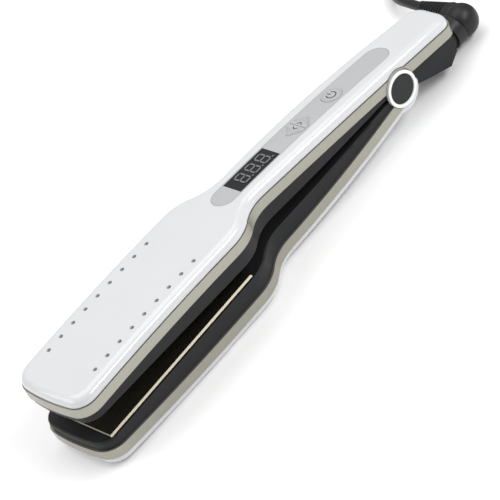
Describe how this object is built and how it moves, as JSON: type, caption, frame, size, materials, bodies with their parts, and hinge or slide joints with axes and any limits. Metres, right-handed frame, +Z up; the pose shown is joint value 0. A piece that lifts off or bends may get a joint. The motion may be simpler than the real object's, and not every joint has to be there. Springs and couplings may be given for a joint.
{
  "type": "flat iron",
  "caption": "Wide-plate hair straightener with vented white covers, satin trim, dark plates, a small display with keys, and a swivel cord.",
  "frame": {"origin": "middle of the iron's length and width, cord left out, on the surface that it rests on", "axes": "+X from the nose to the hinge and the cord, +Z up, -Y the side with the near hinge cap"},
  "size_m": [0.4423, 0.1165, 0.0513],
  "materials": {
    "cover": "gloss",
    "trim": "satin",
    "shell": "matte",
    "plate": "gloss",
    "carrier": "matte",
    "ceramic": "matte",
    "film": "satin",
    "spring_steel": "satin",
    "aluminium": "satin",
    "silicone": "matte",
    "panel": "gloss",
    "window": "gloss",
    "lcd": "satin",
    "digit": "matte",
    "key": "gloss",
    "board": "satin",
    "component": "matte",
    "capacitor": "gloss",
    "wire": "matte",
    "hinge_ring": "gloss",
    "hinge_cap": "matte",
    "swivel": "satin",
    "cord": "satin",
    "plug": "satin",
    "pins": "gloss"
  },
  "bodies": {
    "lower_arm": {"lower_cover": "cover", "lower_trim": "trim", "lower_shell": "shell", "lower_heat_shield": "aluminium", "lower_cushions": "silicone", "lower_leads": "wire", "lower_case_screws": "spring_steel", "hinge_pin": "spring_steel", "hinge_ring_near": "hinge_ring", "hinge_ring_far": "hinge_ring", "hinge_cap_near": "hinge_cap", "hinge_cap_far": "hinge_cap"},
    "upper_arm": {"upper_cover": "cover", "upper_trim": "trim", "upper_shell": "shell", "upper_heat_shield": "aluminium", "upper_cushions": "silicone", "upper_leads": "wire", "upper_case_screws": "spring_steel", "control_panel": "panel", "display_window": "window", "display_module": "lcd", "display_digits": "digit", "circuit_board": "board", "board_screws": "spring_steel", "tact_switches": "component", "triac": "component", "film_capacitor": "capacitor", "controller_chip": "component", "hinge_bushes": "carrier", "hinge_spring": "spring_steel", "swivel_collar": "swivel"},
    "lower_plate_float": {"lower_plate": "plate", "lower_plate_carrier": "carrier", "lower_heater": "ceramic", "lower_heater_film": "film", "lower_heater_clamp": "spring_steel", "lower_thermistor": "component"},
    "upper_plate_float": {"upper_plate": "plate", "upper_plate_carrier": "carrier", "upper_heater": "ceramic", "upper_heater_film": "film", "upper_heater_clamp": "spring_steel", "upper_thermistor": "component"},
    "power_button_body": {"power_button": "key"},
    "down_key_body": {"down_key": "key"},
    "up_key_body": {"up_key": "key"},
    "cord_swivel_body": {"swivel_knuckle": "swivel", "swivel_clip": "spring_steel", "strain_relief": "swivel", "cord": "cord", "cord_coil": "cord", "cord_end": "cord", "cord_tie": "cord", "plug_relief": "plug", "plug_body": "plug", "plug_pins": "pins"}
  },
  "joints": [
    {"name": "arm_hinge", "type": "hinge", "parent": "lower_arm", "child": "upper_arm", "pos_m": [0.0913, 0, 0.02399], "axis": [0, -1, 0], "range_deg": [0, 3.1], "stiffness_Nm_per_rad": 0.9, "springref_deg": -51.57},
    {"name": "upper_plate_slide", "type": "slide", "parent": "upper_arm", "child": "upper_plate_float", "axis": [0.0349, 0, 0.9994], "range_m": [0, 0.001], "stiffness_N_per_m": 2500, "springref_m": -0.0006},
    {"name": "lower_plate_slide", "type": "slide", "parent": "lower_arm", "child": "lower_plate_float", "axis": [0.0209, 0, -0.9998], "range_m": [0, 0.001], "stiffness_N_per_m": 2500, "springref_m": -0.0006},
    {"name": "power_button_press", "type": "slide", "parent": "upper_arm", "child": "power_button_body", "axis": [-0.0349, 0, -0.9994], "range_m": [0, 0.0005], "stiffness_N_per_m": 600, "springref_m": -0.0008},
    {"name": "down_key_press", "type": "slide", "parent": "upper_arm", "child": "down_key_body", "axis": [-0.0349, 0, -0.9994], "range_m": [0, 0.0005], "stiffness_N_per_m": 600, "springref_m": -0.0008},
    {"name": "up_key_press", "type": "slide", "parent": "upper_arm", "child": "up_key_body", "axis": [-0.0349, 0, -0.9994], "range_m": [0, 0.0005], "stiffness_N_per_m": 600, "springref_m": -0.0008},
    {"name": "cord_swivel", "type": "hinge", "parent": "upper_arm", "child": "cord_swivel_body", "pos_m": [0.15438, 0, 0.01098], "axis": [0.9994, 0, -0.0349], "continuous": true}
  ]
}
